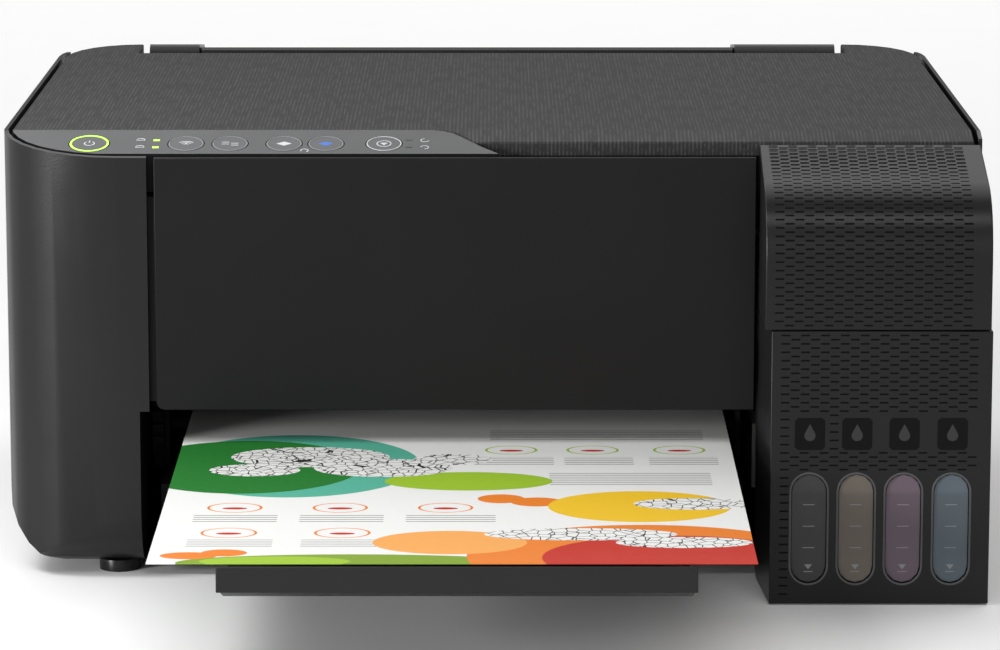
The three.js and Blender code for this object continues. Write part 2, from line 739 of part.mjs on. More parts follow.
const PICKUP = { y: 162.8, z: 95.5, radius: 15 };
function pickupRoller() {
  const wheel = rod("x", PICKUP.y, PICKUP.z, PICKUP.radius, PAPER.middle - 15, PAPER.middle + 15, 20);
  const shaft = rod("x", PICKUP.y, PICKUP.z, 3, PAPER.middle - 60, PAPER.middle + 60, 10);
  return piece("pickup_roller", "rubber", join(wheel, shaft));
}

const SUPPORT_TILT = THREE.MathUtils.degToRad(5);
function paperSupport() {
  const height = 96;
  const thickness = 2.2;
  const plate = join(
    block(FEEDER.left + 14, FEEDER.right - 14, 0, thickness, -height, 0),
    block(-45, 20, -1.2, thickness + 1, -4, 0.4),
  );
  const support = piece("paper_support", "casing_black", plate);
  support.position.set(0, 233.2, 169.4);
  support.rotation.x = -SUPPORT_TILT;
  return support;
}

function feederGuard() {
  const front = { y: 211, z: 172.8 };
  const back = { y: 230.4, z: 170.3 };
  const thickness = 2;
  const outline = [
    [206.6, 168.4],
    [front.y - 2, front.z - 1],
    [front.y, front.z],
    [back.y, back.z],
    [back.y, back.z - thickness],
    [front.y + 0.6, front.z - thickness],
    [front.y - 1.4, 167.4],
  ];
  return piece("feeder_guard", "casing_black", prism("x", outline, FEEDER.left, FEEDER.right));
}

// ---------------------------------------------------------------- scanner unit
const SCANNER = { half: HALF_WIDTH - RIM_INSET, back: 196, earBack: 229, low: 134, split: 150, top: 162 };
const EAR_X = 154;
const RIGHT_FRONT = -45;

// Plan of the scanner body or the cover. front is a list of points from the left side to the right side.
function scannerPlan(inset, front, back, earBack) {
  const cornerX = HALF_WIDTH - BACK_CORNER.rx;
  const rx = SCANNER.half - cornerX - inset;
  const ry = earBack - BACK_CORNER_Y - inset;
  const earInner = EAR_X + inset;
  const corner = arc(cornerX, BACK_CORNER_Y, rx, ry, 0, 90, 6).filter(([x]) => x > earInner + 1);
  const right = [...corner, [earInner, earBack - inset], [earInner, back - inset]];
  return [...front, ...right, ...mirrored(right)];
}
const leftFront = (inset, cutY) => mirrored(frontCorner(RIM_INSET + inset, 8).filter(([, y]) => y > cutY));

function scannerBase() {
  const plan = (inset) =>
    scannerPlan(
      inset,
      [
        ...leftFront(inset, -55.2 + inset),
        [-150, -55.5 + inset],
        [100 - inset, -55.5 + inset],
        [100 - inset, RIGHT_FRONT + inset],
        [SCANNER.half - inset, RIGHT_FRONT + inset],
      ],
      SCANNER.back,
      SCANNER.earBack,
    );
  const tray = cut(
    prism("z", plan(0), SCANNER.low, SCANNER.split),
    prism("z", plan(2), SCANNER.low + 2, FAR),
  );
  const rail = block(-172, 172, 78, 84, SCANNER.low + 1, SCANNER.low + 5);
  return piece("scanner_base", "inner_black", join(tray, rail));
}

const GLASS = { x: 152, front: -29, back: 189, z0: 159.2, z1: SCANNER.top };
const HINGE_POST = { x: 163, half: 4, front: 216, back: 222, low: 139 };
const HINGE_LINE = { y: 226, z: 166 }; // where the cover turns on its posts
function scannerFrame() {
  const plan = (inset) =>
    scannerPlan(
      inset,
      [
        [-SCANNER.half + inset, -34.6 + inset],
        [-4 + inset, -34.6 + inset],
        [-4 + inset, -46 + inset],
        [100, -46 + inset],
        [100, RIGHT_FRONT + inset],
        [SCANNER.half - inset, RIGHT_FRONT + inset],
      ],
      SCANNER.back,
      SCANNER.earBack,
    );
  const body = cut(
    prism("z", plan(0), SCANNER.split + GAP, SCANNER.top),
    prism("z", plan(2), 100, SCANNER.top - 1.8),
  );
  const opening = block(-GLASS.x - GAP, GLASS.x + GAP, GLASS.front - GAP, GLASS.back + GAP, 100, FAR);
  const sockets = [-1, 1].map((side) => {
    const x = side * HINGE_POST.x;
    const around = block(x - 7.5, x + 7.5, 212, 226, SCANNER.split + GAP, SCANNER.top);
    const slot = block(x - 4.6, x + 4.6, HINGE_POST.front - 0.6, HINGE_POST.back + 0.6, 100, FAR);
    return { walls: meet(around, prism("z", plan(0), 100, FAR)), slot };
  });
  // The ears are lower under the cover's hinges, where its back edge swings down.
  const hingeRoom = block(-FAR, FAR, 218.5, FAR, 158.6, FAR);
  const walls = join(cut(body, opening), ...sockets.map((s) => s.walls));
  return piece("scanner_frame", "inner_black", cut(walls, ...sockets.map((s) => s.slot), hingeRoom));
}

function scannerGlass() {
  const { x, front, back, z0, z1 } = GLASS;
  return piece("scanner_glass", "glass", block(-x, x, front, back, z0, z1));
}

function scanCarriage() {
  const bar = block(-170, -154, -24, 188, 143, 158);
  const slider = cut(block(-172, -152, 72, 90, 140.6, 146), block(-FAR, FAR, 77, 85, 100, 140.8));
  return piece("scan_carriage", "inner_black", join(bar, slider));
}

// ---------------------------------------------------------------- control panel
const PANEL = { left: -SCANNER.half, back: -35.6, front: -57.3, depth: 2, low: 151 };
// The turned frame of the sloping panel: x across, y up the slope, z out of the surface.
const panelFrame = new THREE.Matrix4()
  .makeRotationX(SLOPE)
  .setPosition(new THREE.Vector3(0, SLOPE_START, TOP));
const BUTTON_Y = -48.3;
const BUTTONS = [
  { name: "power_button", slot: "power_button", x: -153.5, radius: 7.6 },
  { name: "wifi_button", slot: "button_grey", x: -116.6, radius: 6.8 },
  { name: "network_button", slot: "button_grey", x: -99.8, radius: 6.8 },
  { name: "copy_mono_button", slot: "button_grey", x: -79.2, radius: 6.8 },
  { name: "copy_colour_button", slot: "copy_blue", x: -63.2, radius: 6.8 },
  { name: "stop_button", slot: "button_grey", x: -41.1, radius: 6.8 },
];
const buttonAlong = (BUTTON_Y - SLOPE_START) / Math.cos(SLOPE);
const BUTTON_TRAVEL = 0.8;

function controlPanel() {
  // The right end runs out in a soft diagonal into the finger recess.
  const diagonal = new THREE.CubicBezierCurve(
    new THREE.Vector2(-23, PANEL.back),
    new THREE.Vector2(-12, -36.6),
    new THREE.Vector2(-11.5, -45),
    new THREE.Vector2(2.6, PANEL.front),
  );
  const plan = (inset) => [
    ...leftFront(inset, PANEL.front + inset).filter(([, y]) => y < PANEL.back - 1),
    [-150, PANEL.front + inset],
    ...diagonal
      .getPoints(6)
      .reverse()
      .map(({ x, y }, i) => [x - inset * 1.5, i === 0 ? y + inset : Math.min(y, PANEL.back - inset)]),
    [PANEL.left + 0.3 + inset, PANEL.back - inset],
  ];
  const sloping = (depth) => [
    [PANEL.front - 5, slopeTop(PANEL.front - 5) - depth],
    [PANEL.back + 5, TOP + (PANEL.back + 5 - SLOPE_START) * Math.tan(SLOPE) - depth],
    [PANEL.back + 5, 100],
    [PANEL.front - 5, 100],
  ];
  const body = meet(prism("z", plan(0), PANEL.low, FAR), prism("x", sloping(0), -FAR, FAR));
  const hollow = meet(prism("z", plan(1.8), 100, FAR), prism("x", sloping(PANEL.depth), -FAR, FAR));
  const holes = BUTTONS.map(({ x, radius }) =>
    rod("z", x, buttonAlong, radius + 0.35, -6, 6, 24).applyMatrix4(panelFrame),
  );
  return piece("control_panel", "panel_grey", cut(body, hollow, ...holes));
}

function buttons() {
  const group = new THREE.Group();
  group.applyMatrix4(panelFrame);
  for (const { name, slot, x, radius } of BUTTONS) {
    const cap = rod("z", 0, 0, radius, -2.6, -0.1, 24);
    const stem = rod("z", 0, 0, 2.2, -6, -2.4, 10);
    const button = piece(name, slot, join(cap, stem));
    button.position.set(x, buttonAlong, 0);
    group.add(button);
  }
  return group;
}

// ---------------------------------------------------------------- document cover
const COVER = { low: 163, left: -35, lip: -46.8, back: 201 };
function documentCover() {
  const plan = scannerPlan(
    0,
    [
      [-SCANNER.half, COVER.left],
      [-20.5, COVER.left],
      [-12.5, -38.5],
      [-7, COVER.lip],
      [SCANNER.half, COVER.lip],
    ],
    COVER.back,
    CORNER_BACK,
  );
  const side = [
    [-60, COVER.low],
    [CORNER_BACK + 5, COVER.low],
    [CORNER_BACK + 5, TOP],
    [SLOPE_START, TOP],
    [-60, slopeTop(-60)],
  ];
  const body = meet(prism("z", plan, 100, FAR), prism("x", side, -FAR, FAR));
  const underside = block(-176, 176, -30, 194, 100, COVER.low + 5);
  const postSlots = [-1, 1].map((s) => {
    const x = s * HINGE_POST.x;
    return block(x - 5.2, x + 5.2, HINGE_POST.front - 1.4, 240, 100, 170.4);
  });
  return piece("document_cover", "lid_grey", cut(body, underside, ...postSlots));
}

const documentPad = () =>
  piece("document_pad", "foam_white", block(-156, 156, -29, 191, COVER.low - 0.6, COVER.low + 4.6));

function coverHinge(name, side) {
  const { half, front, back, low } = HINGE_POST;
  const x = side * HINGE_POST.x;
  const outline = [
    [front, low],
    [back, low],
    [back, HINGE_LINE.z - 2.6],
    [HINGE_LINE.y, HINGE_LINE.z - 2.6],
    [HINGE_LINE.y, HINGE_LINE.z],
    [front, HINGE_LINE.z],
  ];
  const knuckle = rod("x", HINGE_LINE.y, HINGE_LINE.z, 2.9, x - half, x + half, 14);
  return piece(name, "inner_black", join(prism("x", outline, x - half, x + half), knuckle));
}

// ---------------------------------------------------------------- output tray and sheet
const TRAY = { left: -104, right: 80, front: -108, back: 50, z0: 36, z1: 39.4 };
const EXTENSION = { left: -94.6, right: 70.9, front: -245.8, back: -80, z0: 31.8, z1: 35.3 };
function outputTray() {
  const { left, right, front, back, z0, z1 } = TRAY;
  const plate = block(left, right, front, back, z0, z1);
  const relief = block(left + 22, right - 22, front + 18, back - 18, z0 + 1.6, z1 + 1);
  return piece("output_tray", "tray_black", cut(plate, relief));
}

// The front end rises on a ramp to the edge that carries the stopper.
function trayExtension() {
  const { left, right, front, back, z0, z1 } = EXTENSION;
  const outline = [
    [front, 43],
    [front + 34, z0],
    [back, z0],
    [back, z1],
    [front + 37, z1],
    [front + 4, 46.5],
    [front + 4, 47.6],
    [front, 47.6],
  ];
  return piece("tray_extension", "tray_black", prism("x", outline, left, right));
}

// The flap hangs in front of the extension and turns up on its top edge to stop the sheets.
const STOPPER = { front: -HALF_DEPTH, back: -246.2, low: 41.9, high: 51 };
function trayStopper() {
  const { left, right } = EXTENSION;
  const { front, back, low, high } = STOPPER;
  return piece("tray_stopper", "tray_black", block(left, right, front, back, low, high));
}

function printedSheet() {
  const front = -246.1;
  const line = [
    [front, 51.6],
    [-120, 52.7],
    [-1, 53.85],
    [front + PAPER.length, 53.9],
  ];
  return piece("printed_sheet", "paper", prism("x", strip(line, PAPER.thickness), PAPER_LEFT, PAPER_RIGHT));
}

// ---------------------------------------------------------------- the whole printer
const printer = new THREE.Group();
const shafts = [FEED, PINCH, EJECT, STARS].map(({ y, z }) => ({ y, z, radius: SHAFT }));
printer.add(
  baseFrame(shafts),
  leftShell(),
  rightShell(),
  frontPanel(),
  rearCover(),
  tankCase(),
  inkTankCover(),
  inkTanks(),
  inkTubeRibbon(),
  guideRail(),
  carriage(),
  printHead(),
  piece("motor_pulley", "steel", pulley(PULLEY_RIGHT, RAIL.web + 8)),
  piece("idler_pulley", "white_plastic", pulley(PULLEY_LEFT, RAIL.web + 3)),
  piece("carriage_belt", "belt_black", carriageBelt()),
  carriageMotor(),
  platen(),
  ...paperDrive(),
  starWheelHolder(),
  feedMotor(),
  cappingStation(),
  powerSupply(),
  mainBoard(),
  paperBed(),
  edgeGuide("edge_guide_left", -124),
  edgeGuide("edge_guide_right", 92.6),
  pickupRoller(),
  paperSupport(),
  feederGuard(),
  scannerBase(),
  scannerFrame(),
  scannerGlass(),
  scanCarriage(),
  controlPanel(),
  buttons(),
  documentCover(),
  documentPad(),
  coverHinge("cover_hinge_left", -1),
  coverHinge("cover_hinge_right", 1),
  outputTray(),
  trayExtension(),
  trayStopper(),
  printedSheet(),
);

export default printer;
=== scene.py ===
# The looks of a compact ink-tank inkjet printer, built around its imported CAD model.
# Metres. +X is the user's right, +Y is towards the back, +Z is up.
import json
import math

import bmesh
import bpy
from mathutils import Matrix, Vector


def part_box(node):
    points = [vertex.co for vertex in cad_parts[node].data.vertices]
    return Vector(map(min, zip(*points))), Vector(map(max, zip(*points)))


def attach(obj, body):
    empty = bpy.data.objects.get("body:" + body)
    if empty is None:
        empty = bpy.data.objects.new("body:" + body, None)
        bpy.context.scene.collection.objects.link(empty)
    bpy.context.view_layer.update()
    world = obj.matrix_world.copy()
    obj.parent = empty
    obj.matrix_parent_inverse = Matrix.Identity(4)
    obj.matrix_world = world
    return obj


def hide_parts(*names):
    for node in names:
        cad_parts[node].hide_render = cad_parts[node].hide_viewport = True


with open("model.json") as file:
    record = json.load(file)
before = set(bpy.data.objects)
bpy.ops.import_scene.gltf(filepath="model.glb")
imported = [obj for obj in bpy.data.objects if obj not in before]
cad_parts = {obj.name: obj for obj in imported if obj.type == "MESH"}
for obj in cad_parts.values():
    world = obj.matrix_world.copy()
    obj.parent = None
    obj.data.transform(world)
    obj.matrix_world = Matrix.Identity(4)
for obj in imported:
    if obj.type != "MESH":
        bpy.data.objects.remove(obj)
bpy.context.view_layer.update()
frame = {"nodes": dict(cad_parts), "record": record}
nodes = frame["nodes"]
MM = 0.001

# ---------------------------------------------------------------- sizes taken from the frame
SLOPE = math.radians(15.5)
SLOPE_START = -36 * MM
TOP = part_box("document_cover")[1].z
WINDOW_WIDTH = 12.7 * MM
WINDOW_LOW, WINDOW_HIGH = 8.8 * MM, 50.2 * MM
INK_SURFACE = WINDOW_HIGH - 6 * MM
INK_EDGE = 2 * MM
SHARP_ANGLE = math.radians(34)
INKS = ("black", "yellow", "magenta", "cyan")


def middle(node):
    low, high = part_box(node)
    return (low + high) / 2


def slope_top(y):
    """Height of the sloping top, which the cover, the panel and the tank cover share."""
    return TOP - max(0.0, SLOPE_START - y) * math.tan(SLOPE)


# ---------------------------------------------------------------- node material helpers
class Material:
    """A Principled material with short calls for the nodes that the finishes share."""

    def __init__(self, name, colour, roughness, metallic=0.0, specular=0.5):
        self.material = bpy.data.materials.new(name)
        self.material.use_nodes = True
        self.nodes = self.material.node_tree.nodes
        self.links = self.material.node_tree.links
        self.shader = self.nodes["Principled BSDF"]
        self.shader.inputs["Base Color"].default_value = (*colour, 1)
        self.shader.inputs["Roughness"].default_value = roughness
        self.shader.inputs["Metallic"].default_value = metallic
        self.shader.inputs["Specular IOR Level"].default_value = specular
        self.rest = self.nodes.new("ShaderNodeTexCoord").outputs["Object"]

    def math(self, operation, a, b=None, c=None):
        node = self.nodes.new("ShaderNodeMath")
        node.operation = operation
        for socket, value in zip(node.inputs, (a, b, c)):
            if value is None:
                continue
            if isinstance(value, (int, float)):
                socket.default_value = value
            else:
                self.links.new(value, socket)
        return node.outputs[0]

    def axes(self):
        split = self.nodes.new("ShaderNodeSeparateXYZ")
        self.links.new(self.rest, split.inputs[0])
        return split.outputs

    def noise(self, scale, detail=3.0, stretch=(1, 1, 1)):
        mapping = self.nodes.new("ShaderNodeMapping")
        mapping.inputs["Scale"].default_value = stretch
        self.links.new(self.rest, mapping.inputs["Vector"])
        noise = self.nodes.new("ShaderNodeTexNoise")
        noise.inputs["Scale"].default_value = scale
        noise.inputs["Detail"].default_value = detail
        self.links.new(mapping.outputs[0], noise.inputs["Vector"])
        return noise.outputs["Fac"]

    def mix(self, factor, a, b):
        node = self.nodes.new("ShaderNodeMix")
        node.data_type = "RGBA"
        for socket, value in ((node.inputs[0], factor), (node.inputs[6], a), (node.inputs[7], b)):
            if isinstance(value, tuple):
                socket.default_value = (*value, 1)
            elif isinstance(value, (int, float)):
                socket.default_value = value
            else:
                self.links.new(value, socket)
        return node.outputs[2]

    def ramp(self, value, low, high):
        """0 at low and 1 at high, and flat past both; low may be the larger one."""
        node = self.nodes.new("ShaderNodeMapRange")
        node.inputs["From Min"].default_value = low
        node.inputs["From Max"].default_value = high
        self.links.new(value, node.inputs["Value"])
        return node.outputs[0]

    def colour(self, socket):
        self.links.new(socket, self.shader.inputs["Base Color"])

    def roughness(self, socket, low, high):
        node = self.nodes.new("ShaderNodeMapRange")
        node.inputs["To Min"].default_value = low
        node.inputs["To Max"].default_value = high
        self.links.new(socket, node.inputs["Value"])
        self.links.new(node.outputs[0], self.shader.inputs["Roughness"])

    def bump(self, height, distance, strength=1.0):
        node = self.nodes.new("ShaderNodeBump")
        node.inputs["Strength"].default_value = strength
        node.inputs["Distance"].default_value = distance
        self.links.new(height, node.inputs["Height"])
        self.links.new(node.outputs[0], self.shader.inputs["Normal"])


def moulded(name, colour, roughness, grain=900, variation=0.12, depth=0.00003, specular=0.2):
    """Moulded plastic: a fine grain in the bump, and a faint drift in colour and gloss."""
    made = Material(name, colour, roughness, specular=specular)
    drift = made.noise(18, 2)
    darker = tuple(c * (1 - variation) for c in colour)
    lighter = tuple(c * (1 + variation) for c in colour)
    made.colour(made.mix(drift, darker, lighter))
    made.roughness(made.noise(60, 3), roughness - 0.05, roughness + 0.05)
    made.bump(made.noise(grain, 2), depth)
    return made


def brushed(name, colour, roughness):
    """Bright metal with fine lines along X."""
    made = Material(name, colour, roughness, metallic=1.0)
    lines = made.noise(160, 4, stretch=(0.06, 1, 1))
    made.colour(made.mix(lines, tuple(c * 0.8 for c in colour), tuple(c * 1.15 for c in colour)))
    made.roughness(lines, roughness - 0.08, roughness + 0.12)
    made.bump(lines, 0.00002)
    return made


STRIPE_PERIOD = 1.5 * MM


def pinstriped(name, colour):
    """The cover's fine pinstripes, which run from front to back and break into dashes."""
    made = Material(name, colour, 0.5, specular=0.1)
    x, _, _ = made.axes()
    stripe = made.math("SINE", made.math("MULTIPLY", x, 2 * math.pi / STRIPE_PERIOD))
    dash = made.noise(420, 2, stretch=(1, 0.14, 1))
    line = made.math("MULTIPLY", made.ramp(stripe, -0.2, 0.7), made.ramp(dash, 0.36, 0.6))
    made.colour(made.mix(line, tuple(c * 0.72 for c in colour), tuple(c * 1.5 for c in colour)))
    made.roughness(made.noise(40, 2), 0.44, 0.56)
    made.bump(line, 0.00004)
    return made


SMOOTH = {"grain": 2200, "depth": 0.00001}
BUTTON_GREY = (0.080, 0.081, 0.083)
MATERIALS = {
    "casing_black": moulded("casing_black", (0.0085, 0.0086, 0.009), 0.3, grain=1500, specular=0.26),
    "lid_grey": pinstriped("lid_grey", (0.038, 0.0382, 0.039)),
    "panel_grey": moulded("panel_grey", (0.078, 0.079, 0.081), 0.4, specular=0.12, **SMOOTH),
    "front_black": moulded("front_black", (0.0085, 0.0085, 0.009), 0.34, specular=0.13, **SMOOTH),
    "textured_black": moulded("textured_black", (0.0080, 0.0081, 0.0084), 0.33, specular=0.24),
    "tray_black": moulded("tray_black", (0.016, 0.016, 0.0165), 0.45),
    "inner_black": moulded("inner_black", (0.004, 0.004, 0.0045), 0.65, specular=0.1),
    "button_grey": moulded("button_grey", BUTTON_GREY, 0.36, specular=0.15, **SMOOTH),
    "power_button": moulded("power_button", BUTTON_GREY, 0.36, specular=0.15, **SMOOTH),
    "copy_blue": moulded("copy_blue", BUTTON_GREY, 0.36, specular=0.15, **SMOOTH),
    "steel": brushed("steel", (0.5, 0.51, 0.52), 0.34),
    "rubber": moulded("rubber", (0.01, 0.01, 0.01), 0.85, grain=600),
    "white_plastic": moulded("white_plastic", (0.66, 0.64, 0.58), 0.45, variation=0.04, specular=0.5),
    "circuit_green": moulded("circuit_green", (0.013, 0.1, 0.037), 0.4, variation=0.25, specular=0.5),
    "belt_black": moulded("belt_black", (0.006, 0.006, 0.006), 0.8, grain=500),
    "foam_white": moulded("foam_white", (0.75, 0.75, 0.73), 0.7, grain=1200, variation=0.03),
}


def glass():
    """Clear glass, with a gloss that drifts a little."""
    made = Material("glass", (0.85, 0.9, 0.89), 0.04)
    made.shader.inputs["Transmission Weight"].default_value = 0.85
    made.shader.inputs["IOR"].default_value = 1.5
    made.roughness(made.noise(25, 2), 0.02, 0.06)
    return made


def ink_window(name, colour):
    """An opaque finish that stands for smoky plastic with ink behind, darker below the ink's surface."""
    made = Material(name, colour, 0.22, specular=0.25)
    _, _, z = made.axes()
    full = made.ramp(z, INK_SURFACE, INK_SURFACE - INK_EDGE)
    edge = made.noise(90, 2)
    tint = made.mix(full, tuple(c * 1.25 for c in colour), colour)
    made.colour(made.mix(made.ramp(edge, 0.3, 0.9), tint, tuple(c * 1.12 for c in colour)))
    made.shader.inputs["Coat Weight"].default_value = 0.15
    made.shader.inputs["Coat Roughness"].default_value = 0.12
    made.roughness(edge, 0.16, 0.3)
    return made


MATERIALS["glass"] = glass()
INK_COLOURS = {
    "black": (0.034, 0.034, 0.035),
    "yellow": (0.112, 0.094, 0.078),
    "magenta": (0.104, 0.074, 0.096),
    "cyan": (0.072, 0.092, 0.108),
}
for ink, tint in INK_COLOURS.items():
    MATERIALS["ink_" + ink] = ink_window("ink_" + ink, tint)


def glowing(name, colour, strength):
    """Plastic that gives off light of its own colour."""
    made = moulded(name, colour, 0.4)
    made.shader.inputs["Emission Color"].default_value = (*colour, 1)
    made.shader.inputs["Emission Strength"].default_value = strength
    return made


LIT_GREEN = glowing("lit_green", (0.42, 0.98, 0.07), 0.85)
MARK_PALE = moulded("mark_pale", (0.5, 0.51, 0.52), 0.5)
MARK_BLUE = moulded("mark_blue", (0.05, 0.15, 0.5), 0.5)
MARK_DIM = moulded("mark_dim", (0.21, 0.215, 0.22), 0.5)
RIM_LIGHT = moulded("rim_light", (0.07, 0.071, 0.073), 0.3)
BADGE_MARK = moulded("badge_mark", (0.030, 0.030, 0.031), 0.5)
BADGE_BLACK = moulded("badge_black", (0.0035, 0.0035, 0.0038), 0.4, specular=0.1)
# The dashes' near-black colour is painted shade, standing for the shade that each small raised dash
# throws and sits in.
DASH_PAINTED_SHADE = moulded("dash_painted_shade", (0.0022, 0.0022, 0.0024), 0.6, specular=0.08)


# ---------------------------------------------------------------- mesh helpers
def append(target, source):
    """Adds one bmesh's faces to another."""
    mesh = bpy.data.meshes.new("part")
    source.to_mesh(mesh)
    source.free()
    target.from_mesh(mesh)
    bpy.data.meshes.remove(mesh)


def finish_mesh(name, mesh_data, made, body, bevel=0.0, smooth=True):
    """Turns a bmesh into a piece that rides on a body."""
    mesh = bpy.data.meshes.new(name)
    bmesh.ops.recalc_face_normals(mesh_data, faces=mesh_data.faces[:])
    mesh_data.to_mesh(mesh)
    mesh_data.free()
    piece = bpy.data.objects.new(name, mesh)
    bpy.context.scene.collection.objects.link(piece)
    mesh.materials.append(made.material)
    if bevel:
        modifier = piece.modifiers.new("edges", "BEVEL")
        modifier.width = bevel
        modifier.segments = 2
        modifier.limit_method = "ANGLE"
        modifier.angle_limit = math.radians(32)
    if smooth:
        for face in mesh.polygons:
            face.use_smooth = True
        mesh.set_sharp_from_angle(angle=SHARP_ANGLE)
    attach(piece, body)
    return piece


def extruded(outline, to_point, depth_vector):
    """A closed prism: outline is a list of (u, v), which to_point turns into a place in space."""
    made = bmesh.new()
    near = [made.verts.new(to_point(u, v)) for u, v in outline]
    far = [made.verts.new(Vector(vert.co) + depth_vector) for vert in near]
    made.faces.new(near)
    made.faces.new(list(reversed(far)))
    for i, vert in enumerate(near):
        after = (i + 1) % len(near)
        made.faces.new((near[after], vert, far[i], far[after]))
    return made


def circle_outline(radius, steps=48):
    angles = [2 * math.pi * i / steps for i in range(steps)]
    return [(radius * math.cos(a), radius * math.sin(a)) for a in angles]


def obround(width, low, high, steps=14):
    """An upright outline with half-round ends, from low to high."""
    radius = width / 2
    angles = [math.pi * i / steps for i in range(steps + 1)]
    top = [(radius * math.cos(a), high - radius + radius * math.sin(a)) for a in angles]
    bottom = [(-radius * math.cos(a), low + radius - radius * math.sin(a)) for a in angles]
    return top + bottom


def frame_band(outer, inner, to_point, depth_vector):
    """A flat band between two outlines that have the same number of points."""
    made = bmesh.new()
    loops = []
    for outline in (outer, inner):
        near = [made.verts.new(to_point(u, v)) for u, v in outline]
        far = [made.verts.new(Vector(vert.co) + depth_vector) for vert in near]
        loops.append((near, far))
    (outer_near, outer_far), (inner_near, inner_far) = loops
    for i in range(len(outer)):
        after = (i + 1) % len(outer)
        for a, b in ((outer_near, inner_near), (inner_near, inner_far),
                     (inner_far, outer_far), (outer_far, outer_near)):
            made.faces.new((a[i], a[after], b[after], b[i]))
    return made


def solid_copy(node, name, made, body, bevel):
    """A smooth, edge-rounded piece with a CAD node's shape, standing for that node."""
    work = bmesh.new()
    work.from_mesh(nodes[node].data)
    bmesh.ops.remove_doubles(work, verts=work.verts[:], dist=1e-6)
    bmesh.ops.dissolve_limit(
        work, angle_limit=math.radians(1.0), verts=work.verts[:], edges=work.edges[:]
    )
    piece = finish_mesh(name, work, made, body, bevel=bevel)
    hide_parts(node)
    return piece


# ---------------------------------------------------------------- carried-over CAD nodes
node_slots = {part["node"]: part["material_slot"] for part in frame["record"]["subparts"]}


def paint_cad_nodes():
    for name, node in nodes.items():
        node.data.materials.clear()
        node.data.materials.append(MATERIALS[node_slots[name]].material)
        node.data.set_sharp_from_angle(angle=SHARP_ANGLE)


# ---------------------------------------------------------------- shells with rounded edges
SHELLS = {
    "left_shell": ("casing_black", "root", 0.45),
    "right_shell": ("casing_black", "root", 0.45),
    "front_panel": ("front_black", "root", 0.35),
    "rear_cover": ("casing_black", "root", 0.5),
    "document_cover": ("lid_grey", "document_cover", 0.6),
    "control_panel": ("panel_grey", "scanner_unit", 0.3),
    "ink_tank_cover": ("textured_black", "tank_cover", 0.5),
    "tank_case": ("textured_black", "root", 0.45),
    "output_tray": ("tray_black", "output_tray", 0.4),
    "tray_extension": ("tray_black", "tray_extension", 0.4),
    "tray_stopper": ("tray_black", "tray_stopper", 0.3),
}


def painted_shade_skirt(piece):
    """The panel's upright sides take the near-black inner finish as painted shade, so the narrow gaps
    beside the panel read as dark slots.
    """
    piece.data.materials.append(MATERIALS["inner_black"].material)
    for face in piece.data.polygons:
        if face.normal.z < 0.5:
            face.material_index = 1


def rounded_shells():
    for node, (slot, body, edge) in SHELLS.items():
        piece = solid_copy(node, node + "_shell", MATERIALS[slot], body, edge * MM)
        if node == "control_panel":
            # painted shade: the panel's upright sides are coloured near-black
            painted_shade_skirt(piece)


# ---------------------------------------------------------------- dash relief on the tank unit, darkened with painted shade
DASH_LENGTH = 3.7 * MM
DASH_PERIOD = 7.4 * MM
DASH_PITCH = 1.6 * MM
DASH_WIDTH = 0.75 * MM
DASH_RISE = 0.05 * MM
DASH_SHOULDER = 0.8
DASH_TOP_LENGTH = 0.94
DASH_TOP_WIDTH = 0.8


def dash(work, centre, across, along, normal):
    """One raised dash with tapered ends, lying on the surface."""
    half, wide = DASH_LENGTH / 2, DASH_WIDTH / 2
    shoulder = half * DASH_SHOULDER
    outline = (
        (-half, 0), (-shoulder, -wide), (shoulder, -wide), (half, 0), (shoulder, wide), (-shoulder, wide)
    )
    rise = normal * DASH_RISE
    base = [work.verts.new(centre + across * u + along * v - rise) for u, v in outline]
    top = [
        work.verts.new(centre + across * u * DASH_TOP_LENGTH + along * v * DASH_TOP_WIDTH + rise)
        for u, v in outline
    ]
    work.faces.new(list(reversed(base)))
    work.faces.new(top)
    for i, vert in enumerate(base):
        after = (i + 1) % len(base)
        work.faces.new((vert, base[after], top[after], top[i]))


def dash_rows(work, path, left, right, keep_clear):
    """Rows of dashes along a surface line of (y, z) points, every other row half a period over."""
    travelled, row = 0.0, 0
    for (y0, z0), (y1, z1) in zip(path, path[1:]):
        step = Vector((0, y1 - y0, z1 - z0))
        length = step.length
        along = step / length
        normal = Vector((0, along.z, -along.y))
        while travelled <= length:
            place = Vector((0, y0, z0)) + along * travelled
            x = left + DASH_LENGTH / 2 + (DASH_PERIOD / 2 if row % 2 else 0)
            while x + DASH_LENGTH / 2 <= right:
                if not keep_clear(x, place.z):
                    dash(work, Vector((x, place.y, place.z)), Vector((1, 0, 0)), along, normal)
                x += DASH_PERIOD
            travelled += DASH_PITCH
            row += 1
        travelled -= length


# ---------------------------------------------------------------- ink tank unit
TANK_XS = [middle("ink_tank_" + ink).x for ink in INKS]
TANK_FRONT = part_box("tank_case")[0].y
LENS_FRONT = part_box("ink_tank_black")[0].y
COVER_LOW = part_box("ink_tank_cover")[0]
COVER_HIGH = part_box("ink_tank_cover")[1]
BORDER = 3.4 * MM
BADGE = {"half": 5.7 * MM, "low": 59.8 * MM, "high": 72.1 * MM, "corner": 1.2 * MM}
DROP_RADIUS = 2.1 * MM
# The bend's cubic curve, as (y, z) in millimetres, from the slope down to the upright front.
TANK_BEND = ((-80, 158.3), (-92, 154.6), (-98.4, 147.2), (-99.2, 132))
BEND_STEPS = 12


def tank_cover_path():
    """Surface line of the tank cover from its back edge, down the slope and round the bend."""
    bend = [Vector(point) for point in TANK_BEND]
    start = COVER_HIGH.y - 2 * MM
    points = [(start, slope_top(start))]
    for i in range(BEND_STEPS + 1):
        t = i / BEND_STEPS
        place = sum(
            (math.comb(3, k) * (1 - t) ** (3 - k) * t**k * bend[k] for k in range(4)), Vector((0, 0))
        )
        points.append((place.x * MM, place.y * MM))
    points.append((TANK_FRONT, COVER_LOW.z + 1.5 * MM))
    return points


